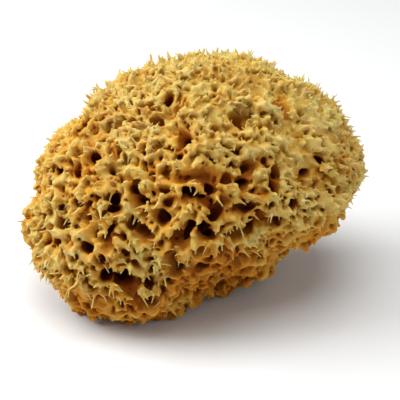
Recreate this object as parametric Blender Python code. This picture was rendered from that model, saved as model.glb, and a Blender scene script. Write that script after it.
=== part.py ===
"""A natural bath sponge, cut flat underneath: one solid that grew as one piece.

Metres, +Z up. The origin is the middle of the flat cut that the sponge rests on, and +X runs towards the
end that overhangs. Sizes below are in millimetres, as named, and are turned to metres at the end.
The body is a blend of rounded lobes. Its skin is a honeycomb of pores: every pore is a pit, and where three
pores meet the wall between them rises to a small spike.
"""

import math

import bmesh
import bpy
import numpy as np

METRES_PER_MM = 0.001
SEED = 11

# The lobes that the body grew in: the centre and the three radii of each.
LOBES = (
    ((-12, -14, 9), (28, 18, 11)),  # front of the foot
    ((-16, 4, 51), (34, 40, 28)),  # left shoulder
    ((-16, -4, 32), (38, 42, 31)),  # left belly
    ((36, 8, 54), (44, 42, 34)),  # overhanging end
    ((12, -2, 54), (34, 44, 34)),  # middle
    ((14, 8, 24), (35, 30, 28)),  # foot
    ((18, 12, 71), (44, 36, 27)),  # crown
)
LOBE_BLEND = 5.0
MIDDLE = np.array((10.0, 6.0, 40.0))

# The round hollow of the large vent, high on the front.
VENT_CENTRE = np.array((33.0, -18.5, 92.0))
VENT_RADIUS = 7.0

# Gentle swellings of the skin.
SWELLINGS = 7
SWELLING_LENGTHS = (17.0, 34.0)
SWELLING_HEIGHT = 0.55

# The photograph's viewpoint, from which the open pores below are placed.
VIEW_ELEVATION = math.radians(30.0)
VIEW_DISTANCE = 463.0
VIEW_TARGET = np.array((13.0, 3.0, 47.0))
TARGET_PIXEL = (196.0, 187.0)
MM_PER_PIXEL = 0.4167
FRAME_CENTRE = 200.0

# Open pores and clefts that stand out: the pixel of each one's middle, its radius and its depth.
OPEN_PORES = (
    ((158, 124), 2.2, 7), ((168, 98), 2.2, 6), ((183, 131), 2.3, 9), ((182, 140), 2.3, 9),
    ((218, 127), 1.8, 6), ((105, 140), 1.8, 5), ((93, 157), 2.4, 7), ((126, 161), 1.9, 6),
    ((134, 179), 1.9, 8), ((132, 190), 2.0, 9), ((111, 200), 2.4, 8), ((112, 209), 2.2, 8),
    ((136, 199), 2.5, 9), ((161, 217), 2.8, 8), ((184, 195), 2.4, 10), ((193, 196), 2.3, 9),
    ((209, 177), 2.7, 10), ((214, 187), 2.3, 9), ((206, 202), 2.2, 8), ((226, 199), 1.8, 8),
    ((219, 210), 2.6, 9), ((189, 226), 2.6, 11), ((206, 226), 2.2, 11), ((210, 237), 2.7, 12),
    ((238, 233), 2.6, 9), ((249, 231), 2.5, 9), ((255, 219), 2.6, 9), ((273, 220), 2.3, 7),
    ((247, 182), 2.4, 8), ((270, 181), 2.5, 8), ((249, 166), 1.9, 6), ((278, 171), 1.9, 6),
    ((134, 224), 2.3, 10), ((144, 234), 2.6, 10), ((179, 241), 2.8, 10), ((85, 247), 2.6, 8),
    ((109, 242), 2.3, 8), ((65, 226), 2.2, 6), ((48, 241), 2.0, 5), ((124, 279), 2.9, 11),
    ((129, 289), 2.8, 11), ((150, 285), 2.4, 9), ((107, 277), 2.7, 7), ((152, 303), 2.5, 8),
    ((103, 303), 2.1, 7), ((138, 301), 2.0, 6), ((170, 258), 2.4, 9), ((174, 268), 2.4, 9),
    ((196, 255), 2.4, 12), ((200, 268), 2.5, 11), ((222, 253), 2.4, 8), ((256, 256), 2.2, 6),
    ((292, 201), 2.0, 6), ((57, 170), 1.9, 5), ((75, 170), 1.9, 5), ((76, 203), 2.2, 6),
    ((300, 107), 2.2, 5), ((278, 101), 2.3, 6), ((320, 160), 1.8, 5), ((302, 176), 2.0, 6),
)

# Ordinary pores are scattered no closer than this. They grow finer past a place along +X and past a height,
# within the bands given.
PORE_SPACING = 4.9
FINE_SPACING = 4.1
FINE_FROM_X = 30.0
FINE_BAND_X = 20.0
FINE_FROM_Z = 75.0
FINE_BAND_Z = 12.0
OPEN_PORE_REACH = 1.45
WALL = 1.5
DEPTH_PER_RADIUS = (1.6, 2.8)

# Spikes on the walls: most are low, and a few reach the full height. None grows close to the ground.
SPIKE_HEIGHT = 2.6
SPIKE_RARITY = 1.6
SPIKE_FREE_HEIGHT = 4.0

# The flat cut: skin this low that faces down is part of it. A share of its pores open, outside its plain middle.
CUT_REACH = 0.6
CUT_FACING = -0.5
CUT_OPEN_SHARE = 0.55
CUT_PORE_DEPTH = 3.0
CUT_PLAIN_RADIUS = 9.0

# How finely the skin is found and sampled.
SKIN_SAMPLES = 30000
FARTHEST_SKIN = 140.0
HALVINGS = 40
SIGHT_STEPS = 200
SIGHT_SHARE = 0.8
SLOPE_STEP = 0.4
TINY = 1e-9

SPONGE_COLOUR = (0.60, 0.36, 0.11, 1.0)
SPONGE_ROUGHNESS = 0.9


def lobe_distance(points, centre, radii):
    """Distance from points to one rounded lobe, below zero inside it."""
    scaled = (points - np.array(centre, float)) / np.array(radii, float)
    reach = np.linalg.norm(scaled, axis=-1)
    slope = np.linalg.norm(scaled / np.array(radii, float), axis=-1)
    return reach * (reach - 1) / np.maximum(slope, TINY)


def swellings(points):
    """Height of the skin's gentle swellings at points, from a few crossing waves."""
    random = np.random.default_rng(SEED)
    height = np.zeros(points.shape[:-1])
    for _ in range(SWELLINGS):
        direction = random.normal(size=3)
        direction /= np.linalg.norm(direction)
        length = random.uniform(*SWELLING_LENGTHS)
        phase = random.uniform(0, 2 * math.pi)
        height += np.sin(points @ direction * (2 * math.pi / length) + phase)
    return SWELLING_HEIGHT * height


def grown_distance(points):
    """Distance to the body before its vent and its cut."""
    blended = sum(np.exp(-lobe_distance(points, *lobe) / LOBE_BLEND) for lobe in LOBES)
    return -LOBE_BLEND * np.log(blended) - swellings(points)


def body_distance(points):
    """Distance to the whole body: grown, with its vent's hollow, and cut flat at z = 0."""
    hollow = VENT_RADIUS - np.linalg.norm(points - VENT_CENTRE, axis=-1)
    return np.maximum(np.maximum(grown_distance(points), hollow), -points[..., 2])


def seen_skin(pixel):
    """The point of the skin that the photograph shows at a pixel."""
    across = np.array((1.0, 0.0, 0.0))
    forward = np.array((0.0, math.cos(VIEW_ELEVATION), -math.sin(VIEW_ELEVATION)))
    up = np.cross(across, forward)
    right_by, down_by = np.subtract(TARGET_PIXEL, FRAME_CENTRE) * MM_PER_PIXEL
    eye = VIEW_TARGET - right_by * across + down_by * up - VIEW_DISTANCE * forward
    x, y = np.subtract(pixel, FRAME_CENTRE) * MM_PER_PIXEL
    ray = x * across - y * up + VIEW_DISTANCE * forward
    ray /= np.linalg.norm(ray)
    point = eye + ray * (VIEW_DISTANCE / 2)
    for _ in range(SIGHT_STEPS):
        point = point + ray * max(float(grown_distance(point)), 0.0) * SIGHT_SHARE
    return point


def skin_along(directions):
    """The skin's point along each direction from the body's middle."""
    near = np.zeros(len(directions))
    far = np.full(len(directions), FARTHEST_SKIN)
    for _ in range(HALVINGS):
        half = (near + far) / 2
        inside = body_distance(MIDDLE + directions * half[:, None]) < 0
        near = np.where(inside, half, near)
        far = np.where(inside, far, half)
    return MIDDLE + directions * near[:, None]


def outward(points):
    """The skin's outward direction at points."""
    steps = np.eye(3) * SLOPE_STEP
    slope = np.stack([body_distance(points + step) - body_distance(points - step) for step in steps], axis=1)
    return slope / np.linalg.norm(slope, axis=1, keepdims=True)


def even_directions(count):
    """Directions spread evenly over a sphere, along a spiral."""
    turn = np.arange(count) + 0.5
    height = 1 - 2 * turn / count
    angle = math.pi * (1 + math.sqrt(5)) * turn
    ring = np.sqrt(1 - height**2)
    return np.stack([ring * np.cos(angle), ring * np.sin(angle), height], axis=1)


def spacing_at(points):
    """How close together ordinary pores may grow at points."""
    fine_end = np.clip((points[:, 0] - FINE_FROM_X) / FINE_BAND_X, 0, 1)
    fine_top = np.clip((points[:, 2] - FINE_FROM_Z) / FINE_BAND_Z, 0, 1)
    return PORE_SPACING + (FINE_SPACING - PORE_SPACING) * np.clip(fine_end + fine_top, 0, 1)


def pores():
    """Every pore's place on the skin, its radius and its depth: the open ones first, then the scattered ones."""
    random = np.random.default_rng(SEED)
    open_radii = np.array([radius for _, radius, _ in OPEN_PORES])
    open_depths = np.array([depth for _, _, depth in OPEN_PORES])
    skin = skin_along(even_directions(SKIN_SAMPLES))
    skin = skin[random.permutation(len(skin))]
    count = len(OPEN_PORES)
    places = np.zeros((count + len(skin), 3))
    claims = np.zeros(count + len(skin))
    places[:count] = [seen_skin(pixel) for pixel, _, _ in OPEN_PORES]
    claims[:count] = open_radii * OPEN_PORE_REACH
    for point, claim in zip(skin, spacing_at(skin) / 2):
        apart = np.linalg.norm(places[:count] - point, axis=1)
        if np.all(apart > claims[:count] + claim):
            places[count] = point
            claims[count] = claim
            count += 1
    places = places[:count]
    apart = np.linalg.norm(places[:, None] - places[None], axis=2)
    np.fill_diagonal(apart, np.inf)
    radii = (apart.min(axis=1) - WALL) / 2
    depths = radii * random.uniform(*DEPTH_PER_RADIUS, len(radii))
    radii[: len(OPEN_PORES)] = open_radii
    depths[: len(OPEN_PORES)] = open_depths
    return places, radii, depths


def honeycomb(directions):
    """A closed mesh over the unit sphere whose every pore is ringed by the points where three pores meet."""
    mesh = bmesh.new()
    for direction in directions:
        mesh.verts.new(direction)
    bmesh.ops.convex_hull(mesh, input=mesh.verts)
    bmesh.ops.triangulate(mesh, faces=mesh.faces)
    between = list(mesh.edges)
    bmesh.ops.poke(mesh, faces=mesh.faces)
    bmesh.ops.rotate_edges(mesh, edges=between)
    bmesh.ops.recalc_face_normals(mesh, faces=mesh.faces)
    return mesh


def wall_depths(points, places, radii, depths):
    """How far each wall point sinks into the pores that it lies in: nothing on an ordinary wall."""
    apart = np.linalg.norm(points[:, None] - places[None], axis=2) / radii
    return (depths * np.clip(1 - apart, 0, 1)).max(axis=1)


def skin_heights(skin, pore_count, sinks, random):
    """How far each point of the mesh stands out from the plain skin: pits below it, and spikes on the walls."""
    spikes = SPIKE_HEIGHT * random.random(len(skin)) ** SPIKE_RARITY
    spikes[:pore_count] = 0.0
    height = spikes - sinks
    return np.where((skin[:, 2] < SPIKE_FREE_HEIGHT) & (height > 0), 0.0, height)


def sponge_mesh():
    """The finished skin, in metres."""
    random = np.random.default_rng(SEED + 1)
    places, radii, depths = pores()
    count = len(places)
    mesh = honeycomb((places - MIDDLE) / np.linalg.norm(places - MIDDLE, axis=1, keepdims=True))
    mesh.verts.ensure_lookup_table()
    skin = skin_along(np.array([vertex.co.normalized() for vertex in mesh.verts]))
    normals = outward(skin)
    sinks = np.concatenate([depths, wall_depths(skin[count:], places, radii, depths)])
    height = skin_heights(skin, count, sinks, random)

    is_cut = (skin[:, 2] < CUT_REACH) & (normals[:, 2] < CUT_FACING)
    opens = random.random(len(skin)) < CUT_OPEN_SHARE
    opens &= np.arange(len(skin)) < count
    opens &= np.hypot(skin[:, 0], skin[:, 1]) > CUT_PLAIN_RADIUS
    height = np.where(is_cut, np.where(opens, -CUT_PORE_DEPTH, 0.0), height)
    normals[is_cut] = (0, 0, -1)
    moved = skin + normals * height[:, None]
    moved[is_cut & ~opens, 2] = 0.0
    moved[:, 2] = np.maximum(moved[:, 2], 0.0)

    for vertex, place in zip(mesh.verts, moved * METRES_PER_MM):
        vertex.co = place
    bmesh.ops.recalc_face_normals(mesh, faces=mesh.faces)
    return mesh


def sponge_material():
    material = bpy.data.materials.new("spongin")
    material.use_nodes = True
    shader = material.node_tree.nodes["Principled BSDF"]
    shader.inputs["Base Color"].default_value = SPONGE_COLOUR
    shader.inputs["Roughness"].default_value = SPONGE_ROUGHNESS
    shader.inputs["Metallic"].default_value = 0.0
    return material


def main():
    for old in list(bpy.data.objects):
        bpy.data.objects.remove(old)
    mesh = sponge_mesh()
    data = bpy.data.meshes.new("sponge")
    mesh.to_mesh(data)
    mesh.free()
    data.materials.append(sponge_material())
    bpy.context.collection.objects.link(bpy.data.objects.new("sponge", data))


main()
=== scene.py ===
"""The bath sponge's looks: porous body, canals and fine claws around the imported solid, in a pale studio.

Sizes are in millimetres, as named, and are turned to metres when a mesh is made. The body is worked out as a
field on a grid, negative inside the sponge: the lobes that the solid has too, with its pores taken out as
tapering canals, then finer pores, a rough ridged skin and the thick lower part of every claw.
"""

import math

import bmesh
import bpy
import numpy as np
import openvdb
from mathutils import Matrix, Vector


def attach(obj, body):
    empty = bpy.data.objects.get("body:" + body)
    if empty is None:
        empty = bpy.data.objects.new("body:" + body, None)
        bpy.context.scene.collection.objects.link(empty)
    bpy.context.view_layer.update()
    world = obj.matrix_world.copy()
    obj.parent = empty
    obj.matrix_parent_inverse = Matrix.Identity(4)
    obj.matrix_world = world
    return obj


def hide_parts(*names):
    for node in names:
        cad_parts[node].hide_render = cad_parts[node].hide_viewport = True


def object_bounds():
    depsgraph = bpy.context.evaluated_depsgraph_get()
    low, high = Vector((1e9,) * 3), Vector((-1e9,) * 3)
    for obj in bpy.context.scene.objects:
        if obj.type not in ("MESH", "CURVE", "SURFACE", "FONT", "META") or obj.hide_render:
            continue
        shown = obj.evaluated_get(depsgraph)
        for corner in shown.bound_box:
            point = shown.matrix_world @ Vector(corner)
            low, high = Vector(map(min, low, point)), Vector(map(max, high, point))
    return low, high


METRES_PER_MM = 0.001
SEED = 11

# The body, with the same lobes, vent, swellings and pores as the solid.
LOBES = (
    ((-12, -14, 9), (28, 18, 11)),  # front of the foot
    ((-16, 4, 51), (34, 40, 28)),  # left shoulder
    ((-16, -4, 32), (38, 42, 31)),  # left belly
    ((36, 8, 54), (44, 42, 34)),  # overhanging end
    ((12, -2, 54), (34, 44, 34)),  # middle
    ((14, 8, 24), (35, 30, 28)),  # foot
    ((18, 12, 71), (44, 36, 27)),  # crown
)
LOBE_BLEND = 5.0
MIDDLE = np.array((10.0, 6.0, 40.0))
VENT_CENTRE = np.array((33.0, -18.5, 92.0))
VENT_RADIUS = 7.0
SWELLINGS = 7
SWELLING_LENGTHS = (17.0, 34.0)
SWELLING_HEIGHT = 0.55

# The photograph's viewpoint.
VIEW_ELEVATION = math.radians(30.0)
VIEW_DISTANCE = 463.0
VIEW_TARGET = np.array((13.0, 3.0, 47.0))
TARGET_PIXEL = (196.0, 187.0)
MM_PER_PIXEL = 0.4167
FRAME_CENTRE = 200.0
LENS = 100.0
SENSOR = 36.0

# Open pores and clefts that stand out: the pixel of each one's middle, its radius and its depth.
OPEN_PORES = (
    ((158, 124), 2.2, 7), ((168, 98), 2.2, 6), ((183, 131), 2.3, 9), ((182, 140), 2.3, 9),
    ((218, 127), 1.8, 6), ((105, 140), 1.8, 5), ((93, 157), 2.4, 7), ((126, 161), 1.9, 6),
    ((134, 179), 1.9, 8), ((132, 190), 2.0, 9), ((111, 200), 2.4, 8), ((112, 209), 2.2, 8),
    ((136, 199), 2.5, 9), ((161, 217), 2.8, 8), ((184, 195), 2.4, 10), ((193, 196), 2.3, 9),
    ((209, 177), 2.7, 10), ((214, 187), 2.3, 9), ((206, 202), 2.2, 8), ((226, 199), 1.8, 8),
    ((219, 210), 2.6, 9), ((189, 226), 2.6, 11), ((206, 226), 2.2, 11), ((210, 237), 2.7, 12),
    ((238, 233), 2.6, 9), ((249, 231), 2.5, 9), ((255, 219), 2.6, 9), ((273, 220), 2.3, 7),
    ((247, 182), 2.4, 8), ((270, 181), 2.5, 8), ((249, 166), 1.9, 6), ((278, 171), 1.9, 6),
    ((134, 224), 2.3, 10), ((144, 234), 2.6, 10), ((179, 241), 2.8, 10), ((85, 247), 2.6, 8),
    ((109, 242), 2.3, 8), ((65, 226), 2.2, 6), ((48, 241), 2.0, 5), ((124, 279), 2.9, 11),
    ((129, 289), 2.8, 11), ((150, 285), 2.4, 9), ((107, 277), 2.7, 7), ((152, 303), 2.5, 8),
    ((103, 303), 2.1, 7), ((138, 301), 2.0, 6), ((170, 258), 2.4, 9), ((174, 268), 2.4, 9),
    ((196, 255), 2.4, 12), ((200, 268), 2.5, 11), ((222, 253), 2.4, 8), ((256, 256), 2.2, 6),
    ((292, 201), 2.0, 6), ((57, 170), 1.9, 5), ((75, 170), 1.9, 5), ((76, 203), 2.2, 6),
    ((300, 107), 2.2, 5), ((278, 101), 2.3, 6), ((320, 160), 1.8, 5), ((302, 176), 2.0, 6),
)
PORE_SPACING = 4.9
FINE_SPACING = 4.1
FINE_FROM_X = 30.0
FINE_BAND_X = 20.0
FINE_FROM_Z = 75.0
FINE_BAND_Z = 12.0
OPEN_PORE_REACH = 1.45
WALL = 1.5
DEPTH_PER_RADIUS = (1.6, 2.8)

# How finely the skin is found and sampled.
SKIN_SAMPLES = 30000
FARTHEST_SKIN = 140.0
HALVINGS = 40
SIGHT_STEPS = 200
SIGHT_SHARE = 0.8
SLOPE_STEP = 0.4
TINY = 1e-9

# The field's grid, how coarsely the plain body is worked out before it is spread over that grid, how far
# distances are followed, and the spread of random values once a spline has smoothed them.
SPACING = 0.5
BODY_STEP = 2.0
MARGIN = 4.0
FIELD_LIMIT = 3.0
SPLINE_SPREAD = 0.33

# Canals: how much wider a pore is at its mouth and narrower at its end, how much deeper than in the solid,
# and how far it leans and its walls wander.
MOUTH = 1.12
END = 0.7
OPEN_SIZE = 1.2
OPEN_DEEPER = 1.6
SIZES = (0.62, 1.08)
FINE_SIZE = 0.62
FINE_DEPTH = 0.5
DEEPER = (0.9, 1.6)
SHALLOW = 0.55
FRONT_FACING = (0.15, 0.7)
FRONT_TOP = (88.0, 68.0)
LEAN = 0.28
ABOVE_SKIN = 3.0
WANDERS = ((5.0, 0.6), (2.4, 0.5))
RIM = 1.3

# Clefts join open pores that are nearer to each other than this, at these shares of their depth and size.
CLEFT_REACH = 8.5
CLEFT_DEPTH = 0.35
CLEFT_SIZE = 0.8

# The vent's throat: where it goes down, how wide and how deep.
THROAT_RADIUS = 4.2
THROAT_END = 2.5
THROAT_DEPTH = 4.0

# Side pores inside the canals, and pinholes on the walls between them.
SIDE_PORES = 2
SIDE_PLACES = (0.25, 1.0)
SIDE_RADII = (0.55, 1.1)
SIDE_REACH = (1.4, 3.2)
PINHOLES = 3600
PINHOLE_RADII = (0.45, 1.05)
PINHOLE_DEPTHS = (0.8, 2.6)

# Knobs on the side that faces down, away from the cut.
KNOB_SAMPLES = 3000
KNOBS = 90
KNOB_RADII = (3.0, 5.0)
KNOB_BLEND = 2.0
KNOB_SUNK = 0.6
KNOB_FACING = -0.2
KNOB_LOWEST = 5.0

# The rough skin: lumps, each with its length and height, ridges along the walls between canals, and peaks.
LUMPS = ((10.0, 0.45), (4.5, 0.5), (1.8, 0.38))
CREST_WIDTH = 1.6
CREST_HEIGHT = 2.2
CREST_MIDDLE = 0.5
FINE_CREST = 0.7
PEAK_RADIUS = 1.0
PEAK_HEIGHTS = (0.5, 2.6)
PEAK_FADE = 0.6
PEAK_LEAST = 0.25

# The body's mesh is thinned to this, then split into a crust and canals of equal numbers.
MOST_BODY_TRIANGLES = 380000

# The underside is painted browner and darker, as if this much deeper: painted shade where the skin faces
# down.
# The fine parts are paler, as if this much higher: partly their own paler tone, partly painted light.
UNDER_PAINTED_SHADE = 2.6
# The fine parts' paleness is partly their own tone and partly painted light on the overhanging end.
FINE_PALER_AND_PAINTED_LIGHT = 0.9

# Fingers stand on the walls between pores in claws of a few, thicker on the belly and finer where the sponge
# is fine. Each kind has how far its claws stand apart, its most fingers in a claw, their lengths, the share
# of them left away from the front, their radius at the root, how far they lean and curl, and their droop.
BELLY = {
    "fine": False,
    "apart": 2.1,
    "most": 3,
    "lengths": (0.9, 2.5),
    "short": 0.55,
    "radius": 0.68,
    "lean": 0.55,
    "curl": 0.75,
    "droop": 0.65,
}
CROWN = {
    "fine": True,
    "apart": 1.6,
    "most": 3,
    "lengths": (0.8, 2.1),
    "short": 1.0,
    "radius": 0.56,
    "lean": 0.6,
    "curl": 0.6,
    "droop": 0.2,
}

# How fingers are placed and shaped. A finger's lower part is fused into the body as tubes, each step of which
# is a share of its length and of its radius there, and its upper part tapers to a tip in a mesh of its own.
FINGER_PLACES = 60000
FINGER_RADII = (0.7, 1.3)
FINGER_CREST = 0.4
FINGER_SPREAD = 0.45
FINGER_SUNK = 0.5
FINGER_SIDES = 4
FINGER_STEPS = (0.0, 0.25, 0.5, 0.75, 0.93)
FINGER_TIP = 0.16
FINGER_FLARE = 0.95
CLAW_STEPS = ((0.0, 1.35), (0.35, 0.8), (0.75, 0.42))
CLAW_BLEND = 0.8
CLAW_REACH = 1.4
TIP_DEPTH = -2.2
LOWEST_FINGER = 0.05
LOWEST_ROOT = 3.0
UNDER_FACING = -0.3

# Spongin: its shading, and its colour by depth in millimetres over the range below, pale to dark; the
# darkening down the canals is painted shade.
ROUGHNESS = 0.82
SPECULAR = 0.12
GLOW = 0.75
GLOW_RADIUS = (1.0, 0.55, 0.2)
GLOW_SCALE = 0.0025
DEPTH_RANGE = (-3.0, 9.0)
COLOURS_AND_PAINTED_SHADE = (
    (0.00, (0.62, 0.485, 0.180, 1)),
    (0.13, (0.56, 0.405, 0.115, 1)),
    (0.23, (0.54, 0.335, 0.063, 1)),
    (0.32, (0.54, 0.255, 0.028, 1)),
    (0.40, (0.46, 0.180, 0.011, 1)),
    (0.52, (0.36, 0.103, 0.004, 1)),
    (0.85, (0.20, 0.036, 0.002, 1)),
)

# Noise in the material: the scale and the detail of each, and the range of it that is used.
PATCH_SCALE = 55.0
PATCH_DETAIL = 3.0
PATCH_RANGE = (0.3, 0.7)
PATCH_DEPTHS = (-0.6, 0.9)
RUST_SCALE = 75.0
RUST_DETAIL = 4.0
RUST_RANGE = (0.52, 0.72)
RUST_MOST = 0.45
RUST_COLOUR = (0.50, 0.22, 0.035, 1)
GRAIN_SCALE = 650.0
GRAIN_DETAIL = 4.0
GRAIN_ROUGHNESS = 0.65
GRAIN_STRENGTH = 0.6
GRAIN_DISTANCE = 0.0007

# The studio, in metres and watts: a pale floor just below the cut, an even background, and each round lamp's
# place, diameter and power.
FLOOR_HALF = 3.0
FLOOR_DROP = 0.0002
FLOOR_COLOUR = (0.79, 0.80, 0.80, 1)
FLOOR_ROUGHNESS = 0.9
BACKGROUND = 0.2
LAMP_AIM = (0.01, 0, 0.04)
LAMPS = {
    "key": ((-0.75, 0.05, 0.72), 0.8, 11.0),
    "overhead": ((0.0, -0.15, 1.2), 0.9, 9.8),
    "fill": ((0.75, -0.45, 0.5), 1.0, 2.0),
}


def lobe_distance(points, centre, radii):
    """Distance from points to one rounded lobe, below zero inside it."""
    scaled = (points - np.array(centre, float)) / np.array(radii, float)
    reach = np.linalg.norm(scaled, axis=-1)
    slope = np.linalg.norm(scaled / np.array(radii, float), axis=-1)
    return reach * (reach - 1) / np.maximum(slope, TINY)


def swellings(points):
    """Height of the skin's gentle swellings at points, from a few crossing waves."""
    random = np.random.default_rng(SEED)
    height = np.zeros(points.shape[:-1])
    for _ in range(SWELLINGS):
        direction = random.normal(size=3)
        direction /= np.linalg.norm(direction)
        length = random.uniform(*SWELLING_LENGTHS)
        phase = random.uniform(0, 2 * math.pi)
        height += np.sin(points @ direction * (2 * math.pi / length) + phase)
    return SWELLING_HEIGHT * height


def grown_distance(points):
    """Distance to the body before its vent and its cut."""
    blended = sum(np.exp(-lobe_distance(points, *lobe) / LOBE_BLEND) for lobe in LOBES)
    return -LOBE_BLEND * np.log(blended) - swellings(points)


def vented_distance(points):
    """Distance to the body with its vent's hollow, before it is cut."""
    hollow = VENT_RADIUS - np.linalg.norm(points - VENT_CENTRE, axis=-1)
    return np.maximum(grown_distance(points), hollow)


def body_distance(points):
    """Distance to the whole body, cut flat at z = 0."""
    return np.maximum(vented_distance(points), -points[..., 2])


def view_axes():
    """The photograph's directions across, up and forward."""
    across = np.array((1.0, 0.0, 0.0))
    forward = np.array((0.0, math.cos(VIEW_ELEVATION), -math.sin(VIEW_ELEVATION)))
    return across, np.cross(across, forward), forward


def view_eye():
    """Where the photograph was taken from."""
    across, up, forward = view_axes()
    right_by, down_by = np.subtract(TARGET_PIXEL, FRAME_CENTRE) * MM_PER_PIXEL
    return VIEW_TARGET - right_by * across + down_by * up - VIEW_DISTANCE * forward


def seen_skin(pixel):
    """The point of the skin that the photograph shows at a pixel."""
    across, up, forward = view_axes()
    x, y = np.subtract(pixel, FRAME_CENTRE) * MM_PER_PIXEL
    ray = x * across - y * up + VIEW_DISTANCE * forward
    ray /= np.linalg.norm(ray)
    point = view_eye() + ray * (VIEW_DISTANCE / 2)
    for _ in range(SIGHT_STEPS):
        point = point + ray * max(float(grown_distance(point)), 0.0) * SIGHT_SHARE
    return point


def skin_along(directions):
    """The skin's point along each direction from the body's middle."""
    near = np.zeros(len(directions))
    far = np.full(len(directions), FARTHEST_SKIN)
    for _ in range(HALVINGS):
        half = (near + far) / 2
        inside = body_distance(MIDDLE + directions * half[:, None]) < 0
        near = np.where(inside, half, near)
        far = np.where(inside, far, half)
    return MIDDLE + directions * near[:, None]


def outward(points):
    """The skin's outward direction at points."""
    steps = np.eye(3) * SLOPE_STEP
    slope = np.stack([body_distance(points + step) - body_distance(points - step) for step in steps], axis=1)
    return slope / np.linalg.norm(slope, axis=1, keepdims=True)


def even_directions(count):
    """Directions spread evenly over a sphere, along a spiral."""
    turn = np.arange(count) + 0.5
    height = 1 - 2 * turn / count
    angle = math.pi * (1 + math.sqrt(5)) * turn
    ring = np.sqrt(1 - height**2)
    return np.stack([ring * np.cos(angle), ring * np.sin(angle), height], axis=1)


def fineness_at(points):
    """How fine the sponge grows: 0 on the belly, and 1 at the overhanging end and on the crown."""
    fine_end = np.clip((points[:, 0] - FINE_FROM_X) / FINE_BAND_X, 0, 1)
    fine_top = np.clip((points[:, 2] - FINE_FROM_Z) / FINE_BAND_Z, 0, 1)
    return np.clip(fine_end + fine_top, 0, 1)


def ramp_up(values, start, end):
    """How far values have gone from start to end, from 0 to 1."""
    return np.clip((values - start) / (end - start), 0, 1)


def frontness(points, normals):
    """How much the skin belongs to the deep-pored front of the belly, from 0 to 1."""
    return ramp_up(-normals[:, 1], *FRONT_FACING) * ramp_up(points[:, 2], *FRONT_TOP)


def spacing_at(points):
    """How close together ordinary pores may grow at points."""
    return PORE_SPACING + (FINE_SPACING - PORE_SPACING) * fineness_at(points)


def pores():
    """Every pore's place on the skin, radius and depth: the open ones first, then the scattered ones."""
    random = np.random.default_rng(SEED)
    open_radii = np.array([radius for _, radius, _ in OPEN_PORES])
    open_depths = np.array([depth for _, _, depth in OPEN_PORES])
    skin = skin_along(even_directions(SKIN_SAMPLES))
    skin = skin[random.permutation(len(skin))]
    count = len(OPEN_PORES)
    places = np.zeros((count + len(skin), 3))
    claims = np.zeros(count + len(skin))
    places[:count] = [seen_skin(pixel) for pixel, _, _ in OPEN_PORES]
    claims[:count] = open_radii * OPEN_PORE_REACH
    for point, claim in zip(skin, spacing_at(skin) / 2):
        apart = np.linalg.norm(places[:count] - point, axis=1)
        if np.all(apart > claims[:count] + claim):
            places[count] = point
            claims[count] = claim
            count += 1
    places = places[:count]
    apart = np.linalg.norm(places[:, None] - places[None], axis=2)
    np.fill_diagonal(apart, np.inf)
    radii = (apart.min(axis=1) - WALL) / 2
    depths = radii * random.uniform(*DEPTH_PER_RADIUS, len(radii))
    radii[: len(OPEN_PORES)] = open_radii
    depths[: len(OPEN_PORES)] = open_depths
    return places, radii, depths


def wall_junctions(places):
    """Directions from the body's middle to the points where three pores meet."""
    mesh = bmesh.new()
    directions = (places - MIDDLE) / np.linalg.norm(places - MIDDLE, axis=1, keepdims=True)
    for direction in directions:
        mesh.verts.new(direction)
    bmesh.ops.convex_hull(mesh, input=mesh.verts)
    bmesh.ops.triangulate(mesh, faces=mesh.faces)
    found = np.array([face.calc_center_median().normalized() for face in mesh.faces])
    mesh.free()
    return found


class Grid:
    """Evenly spaced points in a box, on which fields are worked out."""

    def __init__(self, low, high):
        self.low = np.floor(np.array(low) / SPACING) * SPACING
        self.shape = tuple(np.ceil((np.array(high) - self.low) / SPACING).astype(int) + 1)

    def axis(self, which):
        return self.low[which] + SPACING * np.arange(self.shape[which])

    def window(self, low, high):
        """The slices that hold a smaller box, or None outside the grid."""
        first = np.maximum(np.floor((low - self.low) / SPACING).astype(int), 0)
        last = np.minimum(np.ceil((high - self.low) / SPACING).astype(int) + 1, self.shape)
        if np.any(first >= last):
            return None
        return tuple(slice(a, b) for a, b in zip(first, last))

    def straight(self, window):
        """The points' coordinates in a window, as three arrays that spread over it."""
        axes = [self.axis(which)[window[which]].astype(np.float32) for which in range(3)]
        return np.meshgrid(*axes, indexing="ij", sparse=True)

    def sample(self, field, points):
        """A field's value at points, from its eight neighbours."""
        place = (points - self.low) / SPACING
        whole = np.clip(np.floor(place).astype(int), 0, np.array(self.shape) - 2)
        part = place - whole
        value = np.zeros(len(points))
        for corner in np.ndindex(2, 2, 2):
            weight = np.prod(np.where(corner, part, 1 - part), axis=1)
            value += weight * field[tuple((whole + corner).T)]
        return value


def spline_weights(part):
    """A cubic B-spline's weights of four neighbours, for a place part of the way between the middle two."""
    return (
        (1 - part) ** 3 / 6,
        (3 * part**3 - 6 * part**2 + 4) / 6,
        (-3 * part**3 + 3 * part**2 + 3 * part + 1) / 6,
        part**3 / 6,
    )


def spread(coarse, low, step, grid):
    """Coarse values, step apart from low onwards, spread smoothly over the grid."""
    for which in range(3):
        place = (grid.axis(which) - low[which]) / step
        whole = np.floor(place).astype(int)
        shape = [1, 1, 1]
        shape[which] = -1
        smooth = 0
        for number, weight in enumerate(spline_weights(place - whole)):
            taken = np.take(coarse, whole - 1 + number, axis=which)
            smooth = smooth + taken * weight.reshape(shape).astype(np.float32)
        coarse = smooth
    return coarse


def coarse_frame(grid, step):
    """Where coarse values over the grid start, and how many there are each way."""
    low = grid.low - step
    counts = np.ceil(np.array(grid.shape) * SPACING / step).astype(int) + 5
    return low, counts


def noise(grid, length, random):
    """Smooth random values over the grid, with a spread of about one and lumps about a length across."""
    low, counts = coarse_frame(grid, length)
    return spread(random.normal(size=counts).astype(np.float32), low, length, grid) / SPLINE_SPREAD


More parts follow.
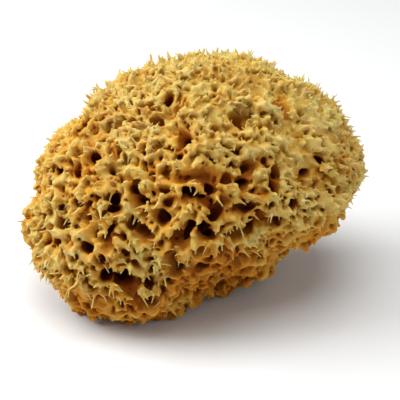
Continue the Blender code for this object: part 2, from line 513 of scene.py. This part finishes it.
def plain_field(grid):
    """Distance to the body before its pores and its cut, over the grid."""
    low, counts = coarse_frame(grid, BODY_STEP)
    axes = [low[which] + BODY_STEP * np.arange(counts[which]) for which in range(3)]
    points = np.stack(np.meshgrid(*axes, indexing="ij"), axis=-1)
    return spread(vented_distance(points).astype(np.float32), low, BODY_STEP, grid)


def add_tube(field, grid, warped, start, end, start_radius, end_radius, limit=FIELD_LIMIT):
    """Lowers a field of distances to the nearest tube by one more, tapering and round-ended.

    The tube wanders as the warped coordinates do, or is straight where there are none.
    """
    reach = max(start_radius, end_radius) + limit
    window = grid.window(np.minimum(start, end) - reach, np.maximum(start, end) + reach)
    if window is None:
        return
    along = (end - start).astype(np.float32)
    places = [axis[window] for axis in warped] if warped else grid.straight(window)
    x, y, z = (place - np.float32(first) for place, first in zip(places, start))
    part = np.clip((x * along[0] + y * along[1] + z * along[2]) / np.float32(along @ along), 0, 1)
    across = (x - part * along[0]) ** 2 + (y - part * along[1]) ** 2 + (z - part * along[2]) ** 2
    distance = np.sqrt(across) - (start_radius + part * np.float32(end_radius - start_radius))
    np.minimum(field[window], distance, out=field[window])


def unit(vectors):
    """The vectors at a length of one."""
    return vectors / np.linalg.norm(vectors, axis=-1, keepdims=True)


def grid_fineness(grid):
    """How fine the sponge grows, over the grid: it depends on x and z alone, so one layer stands for all."""
    x, z = np.meshgrid(grid.axis(0), grid.axis(2), indexing="ij")
    layer = fineness_at(np.stack([x.ravel(), np.zeros(x.size), z.ravel()], axis=1))
    return layer.reshape(x.shape)[:, None, :].astype(np.float32)


def canal_field(grid, warped, places, normals, radii, depths, random):
    """Distance to the nearest canal, over the grid: the pores, their side pores and the pinholes."""
    field = np.full(grid.shape, FIELD_LIMIT, np.float32)
    sizes = random.uniform(*SIZES, len(radii)) * (1 + (FINE_SIZE - 1) * fineness_at(places))
    sizes[: len(OPEN_PORES)] = OPEN_SIZE
    reaches = random.uniform(*DEEPER, len(radii)) * (SHALLOW + (1 - SHALLOW) * frontness(places, normals))
    reaches *= 1 + (FINE_DEPTH - 1) * fineness_at(places)
    reaches[: len(OPEN_PORES)] = OPEN_DEEPER
    for place, normal, radius, depth in zip(places, normals, radii * sizes, depths * reaches):
        inward = unit(-normal + random.normal(0, LEAN, 3))
        start = place - inward * ABOVE_SKIN
        end = place + inward * depth
        add_tube(field, grid, warped, start, end, radius * MOUTH, radius * END)
        for _ in range(SIDE_PORES):
            root = place + inward * depth * random.uniform(*SIDE_PLACES)
            side = unit(np.cross(inward, random.normal(size=3)))
            tip = root + side * (radius + random.uniform(*SIDE_REACH))
            size = random.uniform(*SIDE_RADII)
            add_tube(field, grid, warped, root, tip, size, size)
    starts = places[: len(OPEN_PORES)]
    middles = starts - normals[: len(OPEN_PORES)] * (depths[: len(OPEN_PORES), None] * CLEFT_DEPTH)
    for first in range(len(OPEN_PORES)):
        for second in range(first):
            if np.linalg.norm(starts[first] - starts[second]) < CLEFT_REACH:
                first_radius = radii[first] * CLEFT_SIZE
                second_radius = radii[second] * CLEFT_SIZE
                add_tube(field, grid, warped, middles[first], middles[second], first_radius, second_radius)
    inward = unit(MIDDLE - VENT_CENTRE)
    end = VENT_CENTRE + inward * (VENT_RADIUS + THROAT_DEPTH)
    add_tube(field, grid, warped, VENT_CENTRE, end, THROAT_RADIUS, THROAT_END)
    skin = skin_along(unit(random.normal(size=(PINHOLES, 3))))
    for place, normal in zip(skin, outward(skin)):
        inward = unit(-normal + random.normal(0, LEAN, 3))
        size = random.uniform(*PINHOLE_RADII)
        end = place + inward * random.uniform(*PINHOLE_DEPTHS)
        add_tube(field, grid, warped, place - inward * ABOVE_SKIN, end, size, size * END)
    return field


def smooth_max(first, second, blend):
    """The larger of two fields, with the corner between them rounded."""
    near = np.maximum(blend - np.abs(first - second), 0) / blend
    return np.maximum(first, second) + near**2 * (blend / 4)


def peak_field(grid, skin, normals, random):
    """How far the small peaks at the wall junctions raise the skin, over the grid."""
    field = np.zeros(grid.shape, np.float32)
    reach = PEAK_RADIUS * 2
    for place, normal in zip(skin, normals):
        height = random.uniform(*PEAK_HEIGHTS) * np.clip(1 + normal[2] / PEAK_FADE, PEAK_LEAST, 1)
        window = grid.window(place - reach - height, place + reach + height)
        if window is None:
            continue
        x, y, z = (straight - np.float32(middle) for straight, middle in zip(grid.straight(window), place))
        up = x * normal[0] + y * normal[1] + z * normal[2]
        across = x * x + y * y + z * z - up * up
        raised = height * np.exp(-across / (PEAK_RADIUS**2 / 2))
        np.maximum(field[window], raised, out=field[window])
    return field


def raise_knobs(field, grid, random):
    """Adds rounded knobs to the field of the body where its skin faces down."""
    skin = skin_along(even_directions(KNOB_SAMPLES))
    normals = outward(skin)
    below = np.flatnonzero((normals[:, 2] < KNOB_FACING) & (skin[:, 2] > KNOB_LOWEST))
    for index in random.choice(below, KNOBS):
        radius = random.uniform(*KNOB_RADII)
        centre = skin[index] - normals[index] * radius * KNOB_SUNK
        window = grid.window(centre - radius - FIELD_LIMIT, centre + radius + FIELD_LIMIT)
        x, y, z = (straight - np.float32(middle) for straight, middle in zip(grid.straight(window), centre))
        knob = np.sqrt(x * x + y * y + z * z) - radius
        field[window] = -smooth_max(-field[window], -knob, KNOB_BLEND)


def thin_out(points, apart, random):
    """Indices of a random choice of points that are nowhere closer than apart."""
    cells = {}
    kept = []
    places = np.floor(points / apart).astype(int)
    around = [np.array(offset) - 1 for offset in np.ndindex(3, 3, 3)]
    for index in random.permutation(len(points)):
        near = [other for offset in around for other in cells.get(tuple(places[index] + offset), ())]
        if near and np.min(np.sum((points[near] - points[index]) ** 2, axis=1)) < apart**2:
            continue
        cells.setdefault(tuple(places[index]), []).append(index)
        kept.append(index)
    return np.array(kept)


def plan_fingers(grid, envelope, canals, kind, random):
    """Where the fingers of a kind stand: their roots, headings, bends, lengths and radii."""
    skin = skin_along(unit(random.normal(size=(FINGER_PLACES, 3))))
    normals = outward(skin)
    fits = grid.sample(canals, skin) > FINGER_CREST
    fits &= (skin[:, 2] > LOWEST_ROOT) & (normals[:, 2] > UNDER_FACING)
    fits &= (random.random(len(skin)) < fineness_at(skin)) == kind["fine"]
    skin = skin[fits]
    normals = normals[fits]
    kept = thin_out(skin, kind["apart"], random)
    in_claw = random.integers(1, kind["most"] + 1, len(kept))
    kept = np.repeat(kept, in_claw)
    roots = skin[kept] - normals[kept] * grid.sample(envelope, skin[kept])[:, None]
    normals = normals[kept]
    share = kind["short"] + (1 - kind["short"]) * frontness(roots, normals)
    lean = random.normal(0, kind["lean"], normals.shape)
    bends = random.normal(0, kind["curl"], normals.shape)
    bends[:, 2] -= kind["droop"] * (1 - np.clip(normals[:, 2], 0, 1))
    return {
        "roots": roots + lean * FINGER_SPREAD - normals * FINGER_SUNK,
        "headings": unit(normals + lean),
        "bends": bends,
        "lengths": random.uniform(*kind["lengths"], len(kept)) * share,
        "radii": kind["radius"] * random.uniform(*FINGER_RADII, len(kept)),
    }


def along_fingers(fingers, step):
    """The points that are a share of the way along each finger."""
    bent = fingers["headings"] * step + fingers["bends"] * step**2
    return fingers["roots"] + bent * fingers["lengths"][:, None]


def claw_field(grid, fingers):
    """Distance to the thick lower part of the nearest finger, over the grid."""
    field = np.full(grid.shape, FIELD_LIMIT, np.float32)
    for (step, wide), (next_step, next_wide) in zip(CLAW_STEPS, CLAW_STEPS[1:]):
        starts = along_fingers(fingers, step)
        ends = along_fingers(fingers, next_step)
        for start, end, radius in zip(starts, ends, fingers["radii"]):
            add_tube(field, grid, None, start, end, radius * wide, radius * next_wide, CLAW_REACH)
    return field


def sponge_fields(grid, places, radii, depths):
    """The finished sponge's field, the field of its skin before pores and crests, and its planned fingers."""
    random = np.random.default_rng(SEED + 2)
    warped = []
    for which in range(3):
        shape = [1, 1, 1]
        shape[which] = -1
        straight = grid.axis(which).reshape(shape).astype(np.float32)
        warped.append(straight + sum(reach * noise(grid, length, random) for length, reach in WANDERS))
    normals = outward(places)
    canals = canal_field(grid, warped, places, normals, radii, depths, random)
    del warped
    junctions = skin_along(wall_junctions(places))
    skin = plain_field(grid)
    raise_knobs(skin, grid, random)
    for length, height in LUMPS:
        skin += height * noise(grid, length, random)
    envelope = skin - peak_field(grid, junctions, outward(junctions), random)
    calm = 1 + (FINE_CREST - 1) * grid_fineness(grid)
    envelope += CREST_HEIGHT * calm * (CREST_MIDDLE - np.clip(canals / CREST_WIDTH, 0, 1))
    fingers = [plan_fingers(grid, envelope, canals, kind, random) for kind in (BELLY, CROWN)]
    body = smooth_max(envelope, -canals, RIM)
    for planned in fingers:
        body = -smooth_max(-body, -claw_field(grid, planned), CLAW_BLEND)
    floor = -grid.axis(2).reshape(1, 1, -1).astype(np.float32)
    return np.maximum(body, floor), skin, fingers


def largest_piece(count, triangles):
    """Which triangles belong to the largest connected piece of a mesh with count points."""
    label = np.arange(count)
    ends = np.concatenate([triangles[:, [0, 1]], triangles[:, [1, 2]], triangles[:, [2, 0]]])
    while True:
        lowest = np.minimum(label[ends[:, 0]], label[ends[:, 1]])
        new = label.copy()
        np.minimum.at(new, ends[:, 0], lowest)
        np.minimum.at(new, ends[:, 1], lowest)
        new = new[new]
        if np.array_equal(new, label):
            break
        label = new
    sizes = np.bincount(label)
    return label[triangles[:, 0]] == sizes.argmax()


def new_mesh(name, points, triangles):
    """A mesh object in metres from points in millimetres."""
    data = bpy.data.meshes.new(name)
    data.vertices.add(len(points))
    data.vertices.foreach_set("co", (points * METRES_PER_MM).astype(np.float32).ravel())
    data.loops.add(len(triangles) * 3)
    data.loops.foreach_set("vertex_index", triangles.astype(np.int32).ravel())
    data.polygons.add(len(triangles))
    data.polygons.foreach_set("loop_start", np.arange(len(triangles), dtype=np.int32) * 3)
    data.polygons.foreach_set("use_smooth", np.ones(len(triangles), bool))
    data.update(calc_edges=True)
    data.validate()
    thing = bpy.data.objects.new(name, data)
    bpy.context.collection.objects.link(thing)
    return thing


def mesh_arrays(thing):
    """A triangle mesh's points, in millimetres, and its triangles."""
    graph = bpy.context.evaluated_depsgraph_get()
    evaluated = thing.evaluated_get(graph)
    data = evaluated.to_mesh()
    data.calc_loop_triangles()
    points = np.empty(len(data.vertices) * 3, np.float32)
    data.vertices.foreach_get("co", points)
    triangles = np.empty(len(data.loop_triangles) * 3, np.int32)
    data.loop_triangles.foreach_get("vertices", triangles)
    evaluated.to_mesh_clear()
    return points.reshape(-1, 3) / METRES_PER_MM, triangles.reshape(-1, 3)


def body_mesh(field, grid):
    """The body's surface as points, in millimetres, and triangles, thinned to a workable number."""
    volume = openvdb.FloatGrid(FIELD_LIMIT)
    volume.copyFromArray(np.clip(field, -FIELD_LIMIT, FIELD_LIMIT))
    points, triangles, quads = volume.convertToPolygons(isovalue=0.0, adaptivity=0.0)
    quads = quads.astype(np.int64)
    triangles = np.concatenate([triangles.astype(np.int64), quads[:, [0, 1, 2]], quads[:, [0, 2, 3]]])
    triangles = triangles[largest_piece(len(points), triangles)]
    points = grid.low + points * SPACING
    whole = new_mesh("whole", points, triangles)
    thinned = whole.modifiers.new("thinned", "DECIMATE")
    thinned.ratio = min(1.0, MOST_BODY_TRIANGLES / len(triangles))
    points, triangles = mesh_arrays(whole)
    bpy.data.objects.remove(whole)
    return points, triangles


def store(thing, name, values):
    """Gives each of a mesh's points a number that its material reads."""
    attribute = thing.data.attributes.new(name, "FLOAT", "POINT")
    attribute.data.foreach_set("value", values.astype(np.float32))


def part_of(name, points, triangles, chosen, depths):
    """One piece of the body, from the chosen triangles."""
    used, numbers = np.unique(triangles[chosen], return_inverse=True)
    thing = new_mesh(name, points[used], numbers.reshape(-1, 3))
    store(thing, "depth", depths[used])
    return thing


def finger_mesh(name, fingers, random):
    """Tapering curved fingers, all in one mesh."""
    headings = fingers["headings"]
    count = len(headings)
    sides = unit(np.cross(headings, random.normal(size=headings.shape)))
    others = np.cross(headings, sides)
    angles = 2 * math.pi * np.arange(FINGER_SIDES) / FINGER_SIDES
    around = sides[:, None] * np.cos(angles)[:, None] + others[:, None] * np.sin(angles)[:, None]
    rings = []
    for step in FINGER_STEPS:
        size = FINGER_TIP + (fingers["radii"] - FINGER_TIP) * (1 - step) ** FINGER_FLARE
        rings.append(along_fingers(fingers, step)[:, None] + around * size[:, None, None])
    rings.append(along_fingers(fingers, 1.0)[:, None])
    points = np.concatenate(rings, axis=1)
    pattern = []
    for ring in range(len(FINGER_STEPS) - 1):
        for corner in range(FINGER_SIDES):
            a = ring * FINGER_SIDES + corner
            b = ring * FINGER_SIDES + (corner + 1) % FINGER_SIDES
            pattern.append((a, b, b + FINGER_SIDES))
            pattern.append((a, b + FINGER_SIDES, a + FINGER_SIDES))
    tip = len(FINGER_STEPS) * FINGER_SIDES
    for corner in range(FINGER_SIDES):
        a = tip - FINGER_SIDES + corner
        b = tip - FINGER_SIDES + (corner + 1) % FINGER_SIDES
        pattern.append((a, b, tip))
    triangles = np.array(pattern)[None] + (tip + 1) * np.arange(count)[:, None, None]
    points = points.reshape(-1, 3)
    points[:, 2] = np.maximum(points[:, 2], LOWEST_FINGER)
    thing = new_mesh(name, points, triangles.reshape(-1, 3))
    ring_depth = np.repeat(TIP_DEPTH * np.array(FINGER_STEPS), FINGER_SIDES)
    store(thing, "depth", np.tile(np.append(ring_depth, TIP_DEPTH), count))
    return thing


def links(tree, *pairs):
    for source, target in pairs:
        tree.links.new(source, target)


def spongin(name):
    """Dry spongin: pale at its tips, golden on the ridges, and browner and darker the deeper a canal goes, as
    painted shade.
    """
    material = bpy.data.materials.new(name)
    material.use_nodes = True
    tree = material.node_tree
    shader = tree.nodes["Principled BSDF"]
    shader.inputs["Roughness"].default_value = ROUGHNESS
    shader.inputs["Specular IOR Level"].default_value = SPECULAR
    shader.inputs["Subsurface Weight"].default_value = GLOW
    shader.inputs["Subsurface Radius"].default_value = GLOW_RADIUS
    shader.inputs["Subsurface Scale"].default_value = GLOW_SCALE
    depth = tree.nodes.new("ShaderNodeAttribute")
    depth.attribute_name = "depth"
    where = tree.nodes.new("ShaderNodeTexCoord")
    patches = tree.nodes.new("ShaderNodeTexNoise")
    patches.inputs["Scale"].default_value = PATCH_SCALE
    patches.inputs["Detail"].default_value = PATCH_DETAIL
    shift = tree.nodes.new("ShaderNodeMapRange")
    shift.inputs["From Min"].default_value = PATCH_RANGE[0]
    shift.inputs["From Max"].default_value = PATCH_RANGE[1]
    shift.inputs["To Min"].default_value = PATCH_DEPTHS[0]
    shift.inputs["To Max"].default_value = PATCH_DEPTHS[1]
    deeper = tree.nodes.new("ShaderNodeMath")
    ramp_place = tree.nodes.new("ShaderNodeMapRange")
    ramp_place.inputs["From Min"].default_value = DEPTH_RANGE[0]
    ramp_place.inputs["From Max"].default_value = DEPTH_RANGE[1]
    # The ramp darkens the colour with depth: painted shade in the canals.
    ramp = tree.nodes.new("ShaderNodeValToRGB")
    while len(ramp.color_ramp.elements) < len(COLOURS_AND_PAINTED_SHADE):
        ramp.color_ramp.elements.new(0.5)
    for element, (place, colour) in zip(ramp.color_ramp.elements, COLOURS_AND_PAINTED_SHADE):
        element.position = place
        element.color = colour
    rust_where = tree.nodes.new("ShaderNodeTexNoise")
    rust_where.inputs["Scale"].default_value = RUST_SCALE
    rust_where.inputs["Detail"].default_value = RUST_DETAIL
    rust_share = tree.nodes.new("ShaderNodeMapRange")
    rust_share.inputs["From Min"].default_value = RUST_RANGE[0]
    rust_share.inputs["From Max"].default_value = RUST_RANGE[1]
    rust_share.inputs["To Max"].default_value = RUST_MOST
    rust = tree.nodes.new("ShaderNodeMix")
    rust.data_type = "RGBA"
    rust.inputs["B"].default_value = RUST_COLOUR
    grain = tree.nodes.new("ShaderNodeTexNoise")
    grain.inputs["Scale"].default_value = GRAIN_SCALE
    grain.inputs["Detail"].default_value = GRAIN_DETAIL
    grain.inputs["Roughness"].default_value = GRAIN_ROUGHNESS
    bump = tree.nodes.new("ShaderNodeBump")
    bump.inputs["Strength"].default_value = GRAIN_STRENGTH
    bump.inputs["Distance"].default_value = GRAIN_DISTANCE
    links(
        tree,
        (where.outputs["Object"], patches.inputs["Vector"]),
        (where.outputs["Object"], rust_where.inputs["Vector"]),
        (where.outputs["Object"], grain.inputs["Vector"]),
        (patches.outputs["Fac"], shift.inputs["Value"]),
        (depth.outputs["Fac"], deeper.inputs[0]),
        (shift.outputs["Result"], deeper.inputs[1]),
        (deeper.outputs["Value"], ramp_place.inputs["Value"]),
        (ramp_place.outputs["Result"], ramp.inputs["Fac"]),
        (rust_where.outputs["Fac"], rust_share.inputs["Value"]),
        (rust_share.outputs["Result"], rust.inputs["Factor"]),
        (ramp.outputs["Color"], rust.inputs["A"]),
        (rust.outputs["Result"], shader.inputs["Base Color"]),
        (grain.outputs["Fac"], bump.inputs["Height"]),
        (bump.outputs["Normal"], shader.inputs["Normal"]),
    )
    return material


def floor_material():
    material = bpy.data.materials.new("pale floor")
    material.use_nodes = True
    shader = material.node_tree.nodes["Principled BSDF"]
    shader.inputs["Base Color"].default_value = FLOOR_COLOUR
    shader.inputs["Roughness"].default_value = FLOOR_ROUGHNESS
    shader.inputs["Specular IOR Level"].default_value = 0.0
    return material


def add_floor():
    half = FLOOR_HALF
    data = bpy.data.meshes.new("floor")
    corners = [(-half, -half, 0), (half, -half, 0), (half, half, 0), (-half, half, 0)]
    data.from_pydata(corners, [], [(0, 1, 2, 3)])
    floor = bpy.data.objects.new("floor", data)
    floor.location.z = -FLOOR_DROP
    data.materials.append(floor_material())
    bpy.context.collection.objects.link(floor)


def add_lamp(name, place, size, power):
    lamp = bpy.data.lights.new(name, "AREA")
    lamp.shape = "DISK"
    lamp.size = size
    lamp.energy = power
    light = bpy.data.objects.new(name, lamp)
    light.location = place
    light.rotation_euler = (Vector(LAMP_AIM) - Vector(place)).to_track_quat("-Z", "Y").to_euler()
    bpy.context.collection.objects.link(light)


def add_camera():
    across, up, forward = view_axes()
    camera = bpy.data.objects.new("camera", bpy.data.cameras.new("camera"))
    camera.data.lens = LENS
    camera.data.sensor_width = SENSOR
    turned = Matrix(np.stack([across, up, -forward], axis=1).tolist()).to_4x4()
    camera.matrix_world = Matrix.Translation(Vector(view_eye() * METRES_PER_MM)) @ turned
    bpy.context.collection.objects.link(camera)
    bpy.context.scene.camera = camera


def set_world():
    world = bpy.data.worlds.new("studio")
    world.use_nodes = True
    background = world.node_tree.nodes["Background"]
    background.inputs["Color"].default_value = (1, 1, 1, 1)
    background.inputs["Strength"].default_value = BACKGROUND
    scene = bpy.context.scene
    scene.world = world
    scene.view_settings.view_transform = "Standard"


def main():
    cad_low, cad_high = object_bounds()
    low = np.array(cad_low) / METRES_PER_MM - MARGIN
    high = np.array(cad_high) / METRES_PER_MM + MARGIN
    grid = Grid(low, high)
    places, radii, depths = pores()
    field, skin, (belly, crown) = sponge_fields(grid, places, radii, depths)
    points, triangles = body_mesh(field, grid)
    points[:, 2] = np.maximum(points[:, 2], 0)
    depth = -grid.sample(skin, points)
    # Painted shade: darker down the canals and where the skin faces down; the fine parts are partly painted
    # light.
    shade = depth + UNDER_PAINTED_SHADE * np.clip(-outward(points)[:, 2], 0, 1) - FINE_PALER_AND_PAINTED_LIGHT * fineness_at(points)
    heights = depth[triangles].mean(axis=1)
    deep = heights > np.median(heights)
    crust = part_of("sponge_crust", points, triangles, ~deep, shade)
    canals = part_of("sponge_canals", points, triangles, deep, shade)
    random = np.random.default_rng(SEED + 3)
    belly_tufts = finger_mesh("belly_tufts", belly, random)
    crown_tufts = finger_mesh("crown_tufts", crown, random)
    material = spongin("spongin")
    for piece in (crust, canals, belly_tufts, crown_tufts):
        piece.data.materials.append(material)
        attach(piece, "root")
        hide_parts("sponge")

    add_floor()
    for name, (place, size, power) in LAMPS.items():
        add_lamp(name, place, size, power)
    set_world()
    add_camera()


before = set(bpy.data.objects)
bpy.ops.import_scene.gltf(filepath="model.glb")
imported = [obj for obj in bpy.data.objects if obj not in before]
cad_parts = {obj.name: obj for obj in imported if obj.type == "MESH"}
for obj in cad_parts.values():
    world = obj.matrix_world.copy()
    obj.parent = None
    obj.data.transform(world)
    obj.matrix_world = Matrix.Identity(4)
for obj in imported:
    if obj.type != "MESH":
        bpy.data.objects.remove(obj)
main()
